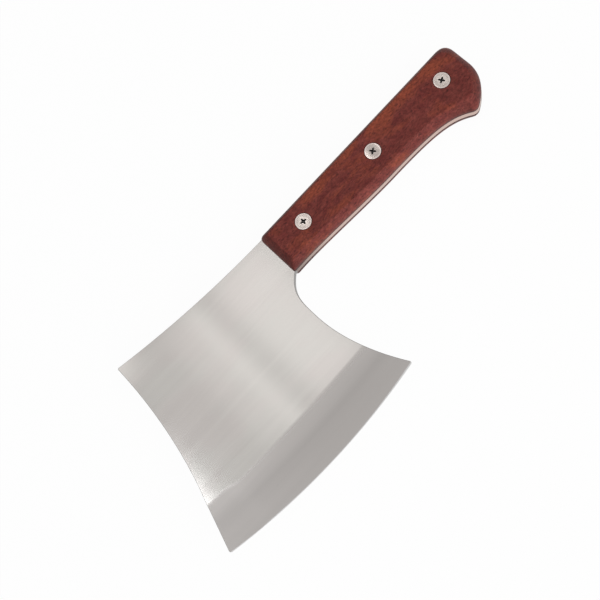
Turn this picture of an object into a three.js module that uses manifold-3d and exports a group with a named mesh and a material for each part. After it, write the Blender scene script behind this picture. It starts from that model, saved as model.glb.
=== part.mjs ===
// A full-tang chopping cleaver: one blade, two wooden scales, and three screws
// whose sleeve nuts clamp the scales to the tang.
// Millimetres. The sketch axes run x back from the scales' front end to the butt,
// y up to the spine and z out of the front face. The finished group is moved so that
// its origin lies on the rear scale's flat face, which is the face it rests on.
import * as THREE from 'three';
import { mergeVertices } from 'three/addons/utils/BufferGeometryUtils.js';
import Module from 'manifold-3d';

// Sheet and wood
const BLADE_THICKNESS = 4;
const SCALE_THICKNESS = 7.5;

// Handle outline, measured from the spine and from the scales' front end
const HANDLE_LENGTH = 138.6;
const FRONT_DEPTH = 25.4;
const FRONT_EASE = 18;
const FRONT_DIP = 1.2;
const GRIP_DEPTH = 27.4;
const GRIP_EASE = 22;
const HOOK_DEPTH = 37.4;
const HOOK_FROM_BUTT = 15.8;
const HOOK_RUN = 52.2;
const HOOK_START_EASE = 32;
const HOOK_TIP_EASE = 10;
const HOOK_TIP_FALL = 8.3;
const BUTT_STRAIGHT = 17;
const BUTT_EASE = 12.8;
const SPINE_BUTT_CORNER = 6.5;
const HOOK_CORNER = 3;
const FRONT_SPINE_CORNER = 2.2;
const FRONT_BELLY_CORNER = 1.8;

// Rounding of the scales' outer edges: how far it reaches in from each side, how deep it goes,
// and the angle that it has turned through where it meets the flat face in a crease
const ROUND_DEPTH = 6.5;
const ROUND_END_ANGLE = 54;
const ROUND_SPINE = 2.8;
const ROUND_FRONT = 4.2;
const ROUND_BELLY = 3.2;
const ROUND_HOOK = 5.4;
const ROUND_BUTT = 4.5;

// Blade outline, ahead of the scales and below the handle's spine line
const SPINE_AHEAD = 99.8;
const SPINE_RISE = 9.1;
const SPINE_RADIUS = 615;
const NOSE_REACH = 122.4;
const NOSE_LEAN = 9.6;
const NOSE_STRAIGHT = 28.4;
const NOSE_TOP_EASE = 31;
const NOSE_TOP_LEAN = 0.2;
const NOSE_LOW_EASE = 21.6;
const EDGE_DROP = 105.6;
const EDGE_VERTEX = 55.8;
const EDGE_RADIUS = 402;
const HEEL_BACK = 7.4;
const HEEL_EASE = 24.5;
const THROAT_AHEAD = 8.6;
const THROAT_TOP = 44;
const THROAT_BOTTOM = 48.5;
const THROAT_CORNER_AHEAD = 6.7;
const THROAT_CORNER_DROP = 5.3;
const THROAT_EASE = 9.5;
const NOSE_CORNER = 1.2;
const TIP_CORNER = 1.6;

// Ground faces of the blade
const BEVEL_WIDTH = 26.1;
const BEVEL_LINE_RADIUS = 1000;
const BEVEL_FLARE = 2;
const BEVEL_FLARE_START = 29;
const BEVEL_FLARE_RUN = 10;
const BEVEL_END_THICKNESS = 0.5;
const EDGE_THICKNESS = 0.2;
const EDGE_ANGLE = 30;

// Handle bolts: a screw from the front face in a sleeve nut from the rear face
const BOLT_FROM_FRONT = 21.6;
const BOLT_FROM_BUTT = 17;
const BOLT_DROP_BLADE_END = 12.4;
const BOLT_DROP_MIDDLE = 13.6;
const BOLT_DROP_BUTT_END = 14.4;
const SCREW_DIAMETER = 4;
const SCREW_CLEARANCE = 0.1;
const SLEEVE_WALL = 0.9;
const HEAD_LIP = 1.4;
const HEAD_THICKNESS = 1.8;
const HEAD_CHAMFER = 0.3;
const HEAD_SINK = 0.1;
const HOLE_CLEARANCE = 0.15;
const SLEEVE_END_GAP = 1;
const SLEEVE_FLOOR = 2;
const SCREW_TIP_GAP = 0.7;

// Cross recess of the bolts, a four-pointed star that narrows towards its floor
const CROSS_DEPTH = 1.3;
const CROSS_MOUTH = { span: 3.8, tipWidth: 0.8, core: 1.9 };
const CROSS_FLOOR = { span: 2.4, tipWidth: 0.5, core: 1.3 };

// How far each cross recess is turned from the handle's line, front and rear
const CROSS_TURNS = { blade_end: -7, middle: 34, butt_end: 28 };
const NUT_CROSS_TURNS = { blade_end: 20, middle: 51, butt_end: -12 };

// The origin, measured from the scales' front end and from the spine
const ORIGIN_FROM_FRONT = 46.6;
const ORIGIN_DROP = 13;

// Facets: steps along each side of the outlines, round corners and circles, and across the roundings
const SPINE_STEPS = 8;
const FRONT_STEPS = 5;
const BELLY_STEPS = 30;
const BUTT_STEPS = 16;
const BLADE_SPINE_STEPS = 12;
const NOSE_STEPS = 18;
const EDGE_STEPS = 24;
const HEEL_STEPS = 28;
const CORNER_STEPS = 5;
const ROUND_STEPS = 5;
const CIRCLE_STEPS = 40;
const BEVEL_STATIONS = 32;
const CURVE_STEPS = 96;

// How far cutters run past the material, and the slack of the point and crossing tests
const CUT_MARGIN = 3;
const MERGE_DISTANCE = 1e-4;
const CROSSING_SLACK = 1e-6;
const PARALLEL_AREA = 1e-12;

// Sizes that follow from those above
const HALF_BLADE = BLADE_THICKNESS / 2;
const HANDLE_THICKNESS = 2 * SCALE_THICKNESS + BLADE_THICKNESS;
const BORE_RADIUS = SCREW_DIAMETER / 2 + SCREW_CLEARANCE;
const SLEEVE_RADIUS = BORE_RADIUS + SLEEVE_WALL;
const HEAD_RADIUS = SLEEVE_RADIUS + HEAD_LIP;
const HOLE_RADIUS = SLEEVE_RADIUS + HOLE_CLEARANCE;
const SEAT_RADIUS = HEAD_RADIUS + HOLE_CLEARANCE;
const SEAT_DEPTH = HEAD_SINK + HEAD_THICKNESS;
const BOLT_LENGTH = HANDLE_THICKNESS - 2 * SEAT_DEPTH;
const BOLT_PITCH = (HANDLE_LENGTH - BOLT_FROM_BUTT - BOLT_FROM_FRONT) / 2;
const BOLTS = {
  blade_end: point(BOLT_FROM_FRONT, -BOLT_DROP_BLADE_END),
  middle: point(BOLT_FROM_FRONT + BOLT_PITCH, -BOLT_DROP_MIDDLE),
  butt_end: point(BOLT_FROM_FRONT + 2 * BOLT_PITCH, -BOLT_DROP_BUTT_END),
};

const steel = new THREE.MeshStandardMaterial({ color: 0xc9c7c3, roughness: 0.35, metalness: 1 });
const wood = new THREE.MeshStandardMaterial({ color: 0x6b2f22, roughness: 0.55, metalness: 0 });
const boltSteel = new THREE.MeshStandardMaterial({ color: 0xd0cdc8, roughness: 0.3, metalness: 1 });

const wasm = await Module();
wasm.setup();

function point(x, y) {
  return new THREE.Vector2(x, y);
}

// Sides are lists of points that run anticlockwise, with the material on their left

function straight(a, b) {
  return new THREE.LineCurve(a, b).getPoints(CURVE_STEPS);
}

function bend(a, control, b) {
  return new THREE.QuadraticBezierCurve(a, control, b).getPoints(CURVE_STEPS);
}

function sweep(a, controlA, controlB, b) {
  return new THREE.CubicBezierCurve(a, controlA, controlB, b).getPoints(CURVE_STEPS);
}

// An arc from a to b. A positive radius has its centre on the left, a negative one on the right.
function arc(a, b, radius) {
  const turn = Math.sign(radius);
  const size = Math.abs(radius);
  const half = a.distanceTo(b) / 2;
  const left = point(a.y - b.y, b.x - a.x).normalize();
  const away = turn * Math.sqrt(size ** 2 - half ** 2);
  const centre = a.clone().lerp(b, 0.5).addScaledVector(left, away);
  const start = Math.atan2(a.y - centre.y, a.x - centre.x);
  const sweepAngle = 2 * Math.asin(half / size) * turn;
  const points = [];
  for (let i = 0; i <= CURVE_STEPS; i++) {
    const angle = start + (sweepAngle * i) / CURVE_STEPS;
    points.push(point(centre.x + size * Math.cos(angle), centre.y + size * Math.sin(angle)));
  }
  return points;
}

// Evenly spaced points along a side, without the given lengths at its two ends
function respaced(side, fromStart, fromEnd, steps) {
  const lengths = [0];
  for (let i = 1; i < side.length; i++) {
    lengths.push(lengths[i - 1] + side[i].distanceTo(side[i - 1]));
  }
  const run = lengths.at(-1) - fromStart - fromEnd;
  const points = [];
  for (let i = 0; i <= steps; i++) {
    const goal = fromStart + (run * i) / steps;
    let k = 1;
    while (k < side.length - 1 && lengths[k] < goal) {
      k++;
    }
    const share = (goal - lengths[k - 1]) / (lengths[k] - lengths[k - 1]);
    points.push(side[k - 1].clone().lerp(side[k], share));
  }
  return points;
}

// A closed outline from sides that follow each other. Each has its steps and the
// length that is rounded off at the corner where it ends.
function roundedOutline(sides) {
  const outline = [];
  sides.forEach((side, i) => {
    const before = sides.at(i - 1);
    const after = sides[(i + 1) % sides.length];
    const run = respaced(side.points, before.corner, side.corner, side.steps);
    if (side.corner === 0) {
      outline.push(...run.slice(0, -1));
      return;
    }
    const next = respaced(after.points, side.corner, after.corner, 1)[0];
    const corner = new THREE.QuadraticBezierCurve(run.at(-1), side.points.at(-1), next);
    outline.push(...run, ...corner.getPoints(CORNER_STEPS).slice(1, -1));
  });
  return outline;
}

// A closed body through rings of equal point count, stacked along the axis that
// the rings turn about anticlockwise. "flat" gives a ring's points in its own plane.
function loft(rings, flat) {
  const count = rings[0].length;
  const index = [];
  for (let r = 0; r < rings.length - 1; r++) {
    for (let i = 0; i < count; i++) {
      const a = r * count + i;
      const b = r * count + ((i + 1) % count);
      index.push(a, b, b + count, a, b + count, a + count);
    }
  }
  const top = (rings.length - 1) * count;
  for (const [a, b, c] of THREE.ShapeUtils.triangulateShape(rings[0].map(flat), [])) {
    index.push(a, c, b);
  }
  for (const [a, b, c] of THREE.ShapeUtils.triangulateShape(rings.at(-1).map(flat), [])) {
    index.push(top + a, top + b, top + c);
  }
  const geometry = new THREE.BufferGeometry();
  geometry.setFromPoints(rings.flat());
  geometry.setIndex(index);
  return geometry;
}

// Cutting

function toSolid(geometry) {
  const bare = geometry.clone();
  bare.deleteAttribute('normal');
  bare.deleteAttribute('uv');
  const merged = mergeVertices(bare, MERGE_DISTANCE);
  const corners = merged.index.array;
  const kept = [];
  for (let i = 0; i < corners.length; i += 3) {
    const [a, b, c] = corners.slice(i, i + 3);
    if (a !== b && b !== c && c !== a) {
      kept.push(a, b, c);
    }
  }
  const mesh = new wasm.Mesh({
    numProp: 3,
    vertProperties: new Float32Array(merged.attributes.position.array),
    triVerts: new Uint32Array(kept),
  });
  return new wasm.Manifold(mesh);
}

function toGeometry(solid) {
  const mesh = solid.getMesh();
  const geometry = new THREE.BufferGeometry();
  geometry.setAttribute('position', new THREE.BufferAttribute(mesh.vertProperties, mesh.numProp));
  geometry.setIndex(new THREE.BufferAttribute(mesh.triVerts, 1));
  return geometry;
}

function cut(geometry, cutters) {
  const body = cutters.reduce((rest, cutter) => rest.subtract(toSolid(cutter)), toSolid(geometry));
  const result = toGeometry(body);
  result.computeVertexNormals();
  return result;
}

// A turned body about z. The profile's points are (radius, height), lowest first.
function turned(profile) {
  const geometry = new THREE.LatheGeometry(profile, CIRCLE_STEPS);
  geometry.rotateX(Math.PI / 2);
  return geometry;
}

function drill(place, radius, from, to) {
  const geometry = turned([point(0, from), point(radius, from), point(radius, to), point(0, to)]);
  geometry.translate(place.x, place.y, 0);
  return geometry;
}

// Handle outline

function handleSides() {
  const hookX = HANDLE_LENGTH - HOOK_FROM_BUTT;
  const gripX = hookX - HOOK_RUN;
  const front = point(0, -FRONT_DEPTH);
  const grip = point(gripX, -GRIP_DEPTH);
  const hook = point(hookX, -HOOK_DEPTH);
  const buttTurn = point(HANDLE_LENGTH, -BUTT_STRAIGHT);
  const buttTop = point(HANDLE_LENGTH, 0);
  const belly = [
    ...sweep(
      front,
      point(FRONT_EASE, -FRONT_DEPTH + FRONT_DIP),
      point(gripX - GRIP_EASE, -GRIP_DEPTH),
      grip,
    ),
    ...sweep(
      grip,
      point(gripX + HOOK_START_EASE, -GRIP_DEPTH),
      point(hookX - HOOK_TIP_EASE, -HOOK_DEPTH + HOOK_TIP_FALL),
      hook,
    ).slice(1),
  ];
  const butt = [
    ...bend(hook, point(HANDLE_LENGTH, -BUTT_STRAIGHT - BUTT_EASE), buttTurn),
    ...straight(buttTurn, buttTop).slice(1),
  ];
  return {
    spine: { points: straight(buttTop, point(0, 0)), steps: SPINE_STEPS, corner: FRONT_SPINE_CORNER },
    front: { points: straight(point(0, 0), front), steps: FRONT_STEPS, corner: FRONT_BELLY_CORNER },
    belly: { points: belly, steps: BELLY_STEPS, corner: HOOK_CORNER },
    butt: { points: butt, steps: BUTT_STEPS, corner: SPINE_BUTT_CORNER },
  };
}

// Blade and tang

function edgeDrop(ahead) {
  const away = ahead - EDGE_VERTEX;
  return EDGE_DROP - EDGE_RADIUS + Math.sqrt(EDGE_RADIUS ** 2 - away ** 2);
}

function bladeOutline() {
  const handle = handleSides();
  const tangTop = point(0, 0);
  const tangBottom = point(0, -FRONT_DEPTH);
  const noseTop = point(-SPINE_AHEAD, SPINE_RISE);
  const noseTip = point(-NOSE_REACH, -edgeDrop(NOSE_REACH));
  const noseBend = noseTip.clone().add(point(NOSE_LEAN, NOSE_STRAIGHT));
  const lowEase = point(NOSE_LEAN, NOSE_STRAIGHT).multiplyScalar(NOSE_LOW_EASE / NOSE_STRAIGHT);
  const heelTip = point(HEEL_BACK, -edgeDrop(-HEEL_BACK));
  const throatBottom = point(-THROAT_AHEAD, -THROAT_BOTTOM);
  const throatTop = point(-THROAT_AHEAD, -THROAT_TOP);
  const nose = [
    ...sweep(
      noseTop,
      noseTop.clone().add(point(-NOSE_TOP_LEAN, -NOSE_TOP_EASE)),
      noseBend.clone().add(lowEase),
      noseBend,
    ),
    ...straight(noseBend, noseTip).slice(1),
  ];
  const heel = [
    ...bend(heelTip, point(-THROAT_AHEAD, -THROAT_BOTTOM - HEEL_EASE), throatBottom),
    ...straight(throatBottom, throatTop).slice(1),
    ...sweep(
      throatTop,
      point(-THROAT_AHEAD, -THROAT_TOP + THROAT_EASE),
      point(-THROAT_CORNER_AHEAD, -FRONT_DEPTH - THROAT_CORNER_DROP),
      tangBottom,
    ).slice(1),
  ];
  return roundedOutline([
    { ...handle.spine, corner: 0 },
    { points: arc(tangTop, noseTop, -SPINE_RADIUS), steps: BLADE_SPINE_STEPS, corner: NOSE_CORNER },
    { points: nose, steps: NOSE_STEPS, corner: TIP_CORNER },
    { points: arc(noseTip, heelTip, EDGE_RADIUS), steps: EDGE_STEPS, corner: TIP_CORNER },
    { points: heel, steps: HEEL_STEPS, corner: 0 },
    handle.belly,
    handle.butt,
  ]);
}

// How far below the spine line the ground face begins. Near the nose it flares upwards.
function bevelDrop(ahead) {
  const away = ahead - EDGE_VERTEX;
  const sag = BEVEL_LINE_RADIUS - Math.sqrt(BEVEL_LINE_RADIUS ** 2 - away ** 2);
  const flareStart = NOSE_REACH - BEVEL_FLARE_START;
  const flare = BEVEL_FLARE * THREE.MathUtils.smoothstep(ahead, flareStart, flareStart + BEVEL_FLARE_RUN);
  return EDGE_DROP - BEVEL_WIDTH - sag - flare;
}

// Section of what the grinder takes off one face: "side" is 1 for the front face, -1 for the rear.
// Heights are measured from the middle of the blade.
function bevelSection(ahead, side) {
  const edge = edgeDrop(ahead);
  const start = bevelDrop(ahead);
  const halfEdge = EDGE_THICKNESS / 2;
  const slope = (HALF_BLADE - BEVEL_END_THICKNESS / 2) / BEVEL_WIDTH;
  const edgeSlope = Math.tan(THREE.MathUtils.degToRad(EDGE_ANGLE));
  const meet = (halfEdge - HALF_BLADE + edgeSlope * edge - slope * start) / (edgeSlope - slope);
  const meetHeight = halfEdge + edgeSlope * (edge - meet);
  const inner = start - CUT_MARGIN;
  const innerHeight = HALF_BLADE + slope * CUT_MARGIN;
  const outer = edge + CUT_MARGIN;
  const top = innerHeight + CUT_MARGIN;
  const section = [
    [inner, top],
    [outer, top],
    [outer, halfEdge],
    [edge, halfEdge],
    [meet, meetHeight],
    [inner, innerHeight],
  ];
  const ring = section.map(([drop, height]) => new THREE.Vector3(-ahead, -drop, side * height));
  return side > 0 ? ring : ring.reverse();
}

function bevelCutter(side) {
  const from = NOSE_REACH + CUT_MARGIN;
  const to = -HEEL_BACK - CUT_MARGIN;
  const rings = [];
  for (let i = 0; i <= BEVEL_STATIONS; i++) {
    rings.push(bevelSection(from + ((to - from) * i) / BEVEL_STATIONS, side));
  }
  return loft(rings, (p) => point(p.y, p.z));
}

function bladeGeometry() {
  const plate = new THREE.ExtrudeGeometry(new THREE.Shape(bladeOutline()), {
    depth: BLADE_THICKNESS,
    bevelEnabled: false,
  });
  plate.translate(0, 0, -HALF_BLADE);
  const through = HALF_BLADE + CUT_MARGIN;
  const holes = Object.values(BOLTS).map((place) => drill(place, HOLE_RADIUS, -through, through));
  return cut(plate, [...holes, bevelCutter(1), bevelCutter(-1)]);
}

// Scales

// The side moved inwards, to the left of its direction. "distance" gives how far, for each
// share of the side's points.
function inset(side, distance) {
  return side.map((p, i) => {
    const ahead = side[Math.min(i + 1, side.length - 1)];
    const behind = side[Math.max(i - 1, 0)];
    const left = point(behind.y - ahead.y, ahead.x - behind.x).normalize();
    return p.clone().addScaledVector(left, distance(i / (side.length - 1)));
  });
}

// The rounding's reach along the belly. It widens along the second half of the belly's points,
// which run from the grip to the hook.
function bellyReach(along) {
  const pastGrip = Math.max(0, 2 * along - 1);
  return ROUND_BELLY + (ROUND_HOOK - ROUND_BELLY) * pastGrip ** 2;
}

// Where segment a to b crosses segment c to d, or null
function segmentsCross(a, b, c, d) {
  const along = b.clone().sub(a);
  const other = d.clone().sub(c);
  const area = along.cross(other);
  if (Math.abs(area) < PARALLEL_AREA) {
    return null;
  }
  const gap = c.clone().sub(a);
  const s = gap.cross(other) / area;
  const t = gap.cross(along) / area;
  const inside = (share) => share > -CROSSING_SLACK && share < 1 + CROSSING_SLACK;
  return inside(s) && inside(t) ? a.clone().addScaledVector(along, s) : null;
}

// Two sides that run past each other, cut back to the corner where they cross
function meetAtCorner(first, second) {
  for (let i = first.length - 2; i >= 0; i--) {
    for (let j = 0; j < second.length - 1; j++) {
      const corner = segmentsCross(first[i], first[i + 1], second[j], second[j + 1]);
      if (corner) {
        return [
          [...first.slice(0, i + 1), corner],
          [corner, ...second.slice(j + 1)],
        ];
      }
    }
  }
  throw new Error('the handle is too narrow for the rounding of its scales');
}

// The scales' outline with each side moved in by its own share of the rounding
function scaleRing(share, height) {
  const { spine, front, belly, butt } = handleSides();
  const sides = [
    { ...spine, points: inset(spine.points, () => share * ROUND_SPINE) },
    { ...front, points: inset(front.points, () => share * ROUND_FRONT) },
    { ...belly, points: inset(belly.points, (along) => share * bellyReach(along)) },
    { ...butt, points: inset(butt.points, () => share * ROUND_BUTT) },
  ];
  sides.forEach((side, i) => {
    const next = sides[(i + 1) % sides.length];
    [side.points, next.points] = meetAtCorner(side.points, next.points);
  });
  return roundedOutline(sides).map((p) => new THREE.Vector3(p.x, p.y, height));
}

// A scale with its flat inner face at z = 0 and its rounded face up, or down for the rear one
function scaleGeometry(faceUp) {
  const rings = [scaleRing(0, 0)];
  const end = THREE.MathUtils.degToRad(ROUND_END_ANGLE);
  for (let i = 0; i <= ROUND_STEPS; i++) {
    const angle = (end * i) / ROUND_STEPS;
    const rise = (ROUND_DEPTH * Math.sin(angle)) / Math.sin(end);
    const share = (1 - Math.cos(angle)) / (1 - Math.cos(end));
    rings.push(scaleRing(share, SCALE_THICKNESS - ROUND_DEPTH + rise));
  }
  const side = faceUp ? 1 : -1;
  rings.forEach((ring) => ring.forEach((p) => p.setZ(side * p.z)));
  const body = loft(faceUp ? rings : rings.reverse(), (p) => point(p.x, p.y));
  const floor = side * (SCALE_THICKNESS - SEAT_DEPTH);
  const past = side * (SCALE_THICKNESS + CUT_MARGIN);
  const cutters = Object.values(BOLTS).flatMap((place) => [
    drill(place, HOLE_RADIUS, -SCALE_THICKNESS - CUT_MARGIN, SCALE_THICKNESS + CUT_MARGIN),
    drill(place, SEAT_RADIUS, Math.min(floor, past), Math.max(floor, past)),
  ]);
  return cut(body, cutters);
}

// Bolts, with the seat under the head at z = 0

// The star's outline: two points at the end of each arm and one between neighbouring arms
function crossRing({ span, tipWidth, core }, turn, height) {
  const between = point(core / 2, 0).rotateAround(point(0, 0), Math.PI / 4);
  const arm = [point(span / 2, -tipWidth / 2), point(span / 2, tipWidth / 2), between];
  return [0, 90, 180, 270].flatMap((quarter) => {
    const angle = THREE.MathUtils.degToRad(turn + quarter);
    return arm.map((p) => {
      const turned = p.clone().rotateAround(point(0, 0), angle);
      return new THREE.Vector3(turned.x, turned.y, height);
    });
  });
}

function crossCutter(turn, top, side) {
  const rings = [
    crossRing(CROSS_FLOOR, turn, top - side * CROSS_DEPTH),
    crossRing(CROSS_MOUTH, turn, top),
    crossRing(CROSS_MOUTH, turn, top + side * CUT_MARGIN),
  ];
  return loft(side > 0 ? rings : rings.reverse(), (p) => point(p.x, p.y));
}

function screwGeometry(turn) {
  const radius = SCREW_DIAMETER / 2;
  const tip = -(BOLT_LENGTH - SLEEVE_FLOOR - SCREW_TIP_GAP);
  const body = turned([
    point(0, tip),
    point(radius, tip),
    point(radius, 0),
    point(HEAD_RADIUS, 0),
    point(HEAD_RADIUS, HEAD_THICKNESS - HEAD_CHAMFER),
    point(HEAD_RADIUS - HEAD_CHAMFER, HEAD_THICKNESS),
    point(0, HEAD_THICKNESS),
  ]);
  return cut(body, [crossCutter(turn, HEAD_THICKNESS, 1)]);
}

function sleeveNutGeometry(turn) {
  const end = BOLT_LENGTH - SLEEVE_END_GAP;
  const body = turned([
    point(0, -HEAD_THICKNESS),
    point(HEAD_RADIUS - HEAD_CHAMFER, -HEAD_THICKNESS),
    point(HEAD_RADIUS, -HEAD_THICKNESS + HEAD_CHAMFER),
    point(HEAD_RADIUS, 0),
    point(SLEEVE_RADIUS, 0),
    point(SLEEVE_RADIUS, end),
    point(BORE_RADIUS, end),
    point(BORE_RADIUS, SLEEVE_FLOOR),
    point(0, SLEEVE_FLOOR),
  ]);
  return cut(body, [crossCutter(turn, -HEAD_THICKNESS, -1)]);
}

// Assembly

function piece(name, geometry, material, x, y, z) {
  const mesh = new THREE.Mesh(geometry, material);
  mesh.name = name;
  mesh.position.set(x, y, z);
  return mesh;
}

const handle = new THREE.Group();
handle.position.set(-ORIGIN_FROM_FRONT, ORIGIN_DROP, 0);
handle.add(piece('blade', bladeGeometry(), steel, 0, 0, SCALE_THICKNESS + HALF_BLADE));
handle.add(piece('front_scale', scaleGeometry(true), wood, 0, 0, SCALE_THICKNESS + BLADE_THICKNESS));
handle.add(piece('rear_scale', scaleGeometry(false), wood, 0, 0, SCALE_THICKNESS));
for (const [place, { x, y }] of Object.entries(BOLTS)) {
  const screw = screwGeometry(CROSS_TURNS[place]);
  const nut = sleeveNutGeometry(NUT_CROSS_TURNS[place]);
  handle.add(piece(`screw_${place}`, screw, boltSteel, x, y, HANDLE_THICKNESS - SEAT_DEPTH));
  handle.add(piece(`sleeve_nut_${place}`, nut, boltSteel, x, y, SEAT_DEPTH));
}

const cleaver = new THREE.Group();
cleaver.add(handle);

export default cleaver;
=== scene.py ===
"""A full-tang chopping cleaver, dressed over its CAD frame.

Blade and tang are one steel plate. Two wooden scales make the handle, and three screws in
sleeve nuts clamp them to the tang. The outlines are drawn in sketch millimetres: x runs back
from the scales' front end to the butt, y up to the spine and z out of the front face.
"""

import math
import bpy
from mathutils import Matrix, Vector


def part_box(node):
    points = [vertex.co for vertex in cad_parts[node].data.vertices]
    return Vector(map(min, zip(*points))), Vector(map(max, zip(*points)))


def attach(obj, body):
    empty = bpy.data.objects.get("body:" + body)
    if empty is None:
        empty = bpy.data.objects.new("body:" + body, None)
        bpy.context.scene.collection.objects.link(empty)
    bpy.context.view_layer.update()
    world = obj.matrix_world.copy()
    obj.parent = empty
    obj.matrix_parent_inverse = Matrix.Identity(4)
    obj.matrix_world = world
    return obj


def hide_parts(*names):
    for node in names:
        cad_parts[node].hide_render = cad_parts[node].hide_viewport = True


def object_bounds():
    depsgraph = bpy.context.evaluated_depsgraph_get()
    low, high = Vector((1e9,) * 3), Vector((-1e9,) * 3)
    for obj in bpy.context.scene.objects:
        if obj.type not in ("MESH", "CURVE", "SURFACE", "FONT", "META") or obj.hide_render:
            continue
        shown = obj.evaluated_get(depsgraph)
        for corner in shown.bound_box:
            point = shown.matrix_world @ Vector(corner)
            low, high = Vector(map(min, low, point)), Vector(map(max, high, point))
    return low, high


bl_info = {
    "name": "Chopping Cleaver",
    "version": (1, 0, 0),
    "blender": (4, 5, 0),
    "location": "View3D > Sidebar > Cleaver",
    "description": "Builds a full-tang cleaver with wooden scales over its CAD frame",
    "category": "Object",
}

import bmesh
import bpy
from bpy.props import FloatProperty, FloatVectorProperty, PointerProperty
from mathutils import Matrix, Vector
from mathutils.geometry import delaunay_2d_cdt, intersect_line_line_2d

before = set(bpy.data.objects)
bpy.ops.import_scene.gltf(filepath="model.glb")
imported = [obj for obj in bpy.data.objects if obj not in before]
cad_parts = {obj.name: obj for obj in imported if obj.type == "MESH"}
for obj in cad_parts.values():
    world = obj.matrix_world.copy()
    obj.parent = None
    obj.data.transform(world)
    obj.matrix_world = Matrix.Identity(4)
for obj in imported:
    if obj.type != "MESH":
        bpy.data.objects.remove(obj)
CAD_LOW, CAD_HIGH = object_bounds()
MM = 0.001

# Sizes and places that come from the frame
BLADE_LOW, BLADE_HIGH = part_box("blade")
FRONT_LOW, FRONT_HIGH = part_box("front_scale")
REAR_LOW, REAR_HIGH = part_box("rear_scale")
SCREW_LOW, SCREW_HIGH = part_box("screw_middle")
PLACES = ("blade_end", "middle", "butt_end")
SKETCH_X = FRONT_LOW.x
SKETCH_Y = FRONT_HIGH.y
BLADE_MIDDLE = (BLADE_LOW.z + BLADE_HIGH.z) / 2
HALF_BLADE = (BLADE_HIGH.z - BLADE_LOW.z) / 2 / MM
SCALE_THICKNESS = (FRONT_HIGH.z - FRONT_LOW.z) / MM
HANDLE_LENGTH = (FRONT_HIGH.x - FRONT_LOW.x) / MM
HEAD_RADIUS = (SCREW_HIGH.x - SCREW_LOW.x) / 2 / MM
HEAD_SINK = (FRONT_HIGH.z - SCREW_HIGH.z) / MM

# Handle outline, measured from the spine and from the scales' front end
FRONT_DEPTH = 25.4
FRONT_EASE = 18
FRONT_DIP = 1.2
GRIP_DEPTH = 27.4
GRIP_EASE = 22
HOOK_DEPTH = 37.4
HOOK_FROM_BUTT = 15.8
HOOK_RUN = 52.2
HOOK_START_EASE = 32
HOOK_TIP_EASE = 10
HOOK_TIP_FALL = 8.3
BUTT_STRAIGHT = 17
BUTT_EASE = 12.8
SPINE_BUTT_CORNER = 6.5
HOOK_CORNER = 3
FRONT_SPINE_CORNER = 2.2
FRONT_BELLY_CORNER = 1.8

# Rounding of the scales' outer edges: how far it reaches in from each side, how deep it goes,
# and the angle that it has turned through where it meets the flat face in a softened crease
ROUND_DEPTH = 6.5
ROUND_END = math.radians(54)
CREASE_SOFT = 0.05
CREASE_DROP = 0.25
ROUND_SPINE = 2.8
ROUND_FRONT = 4.2
ROUND_BELLY = 3.2
ROUND_HOOK = 5.4
ROUND_BUTT = 4.5
INNER_EDGE_BREAK = 0.16
HOLDING_SHARE = 1.12

# Painted shade on the belly's front where it faces down: from and to where along x in metres, and how much
# it counts
FRONT_SHADE = (-0.038, -0.008, 0.52)

# Painted shade of the wood along the tang, where the scales meet it: its width in metres, and how much of
# the colour is left there
SEAM_SHADE_WIDTH = 0.0022
SEAM_SHADE_TONE = 0.15

# Blade outline, ahead of the scales and below the handle's spine line
SPINE_AHEAD = 99.8
SPINE_RISE = 9.1
SPINE_RADIUS = 615
NOSE_REACH = 122.4
NOSE_LEAN = 9.6
NOSE_STRAIGHT = 28.4
NOSE_TOP_EASE = 31
NOSE_TOP_LEAN = 0.2
NOSE_LOW_EASE = 21.6
EDGE_DROP = 105.6
EDGE_VERTEX = 55.8
EDGE_RADIUS = 402
HEEL_BACK = 7.4
HEEL_EASE = 24.5
THROAT_AHEAD = 8.6
THROAT_TOP = 44
THROAT_BOTTOM = 48.5
THROAT_CORNER_AHEAD = 6.7
THROAT_CORNER_DROP = 5.3
THROAT_EASE = 9.5
NOSE_CORNER = 1.2
TIP_CORNER = 1.6

# Ground faces of the blade
BEVEL_LINE_RADIUS = 1000
BEVEL_FLARE = 2
BEVEL_FLARE_START = 29
BEVEL_FLARE_RUN = 10
BEVEL_END_THICKNESS = 0.5
EDGE_THICKNESS = 0.2
EDGE_BREAK_FADE = 4
BEVEL_SOFT_HEEL = 1.4
BEVEL_SOFT_NOSE = 1.0
BEVEL_SOFT_LINES = (-1, -0.5, 0, 0.5, 1)
BEVEL_ROWS = 6

# Painted sheen of the ground bevel: how light its colour is at parts of the way down it
PAINTED_BEVEL_SHEEN = ((0, 1.07), (0.15, 1.05), (0.4, 0.93), (0.7, 1.0), (1, 1.02))

# Bolts and their seats in the wood
SHANK_RADIUS = 2
BORE_RADIUS = 2.1
SLEEVE_RADIUS = 3
HOLE_CLEARANCE = 0.15
HEAD_THICKNESS = 1.8
SEAT_RIM = 0.2
SLEEVE_END_GAP = 1
SLEEVE_FLOOR = 2
SCREW_TIP_GAP = 0.7
CROSS_SHARPNESS = 2.6
CROSS_DRAFT = 0.65

# Points along each side of the outlines, on corners, roundings and circles
CURVE_STEPS = 120
SPINE_STEPS = 48
FRONT_STEPS = 20
BELLY_STEPS = 110
BUTT_STEPS = 52
BLADE_SPINE_STEPS = 40
NOSE_STEPS = 64
EDGE_STEPS = 100
HEEL_STEPS = 90
CORNER_STEPS = 8
ROUND_STEPS = 18
CIRCLE_STEPS = 64
CROSS_STEPS = 96
RIM_STEPS = 3
EDGE_ROUND_STEPS = 5
BEVEL_STATIONS = 100

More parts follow.
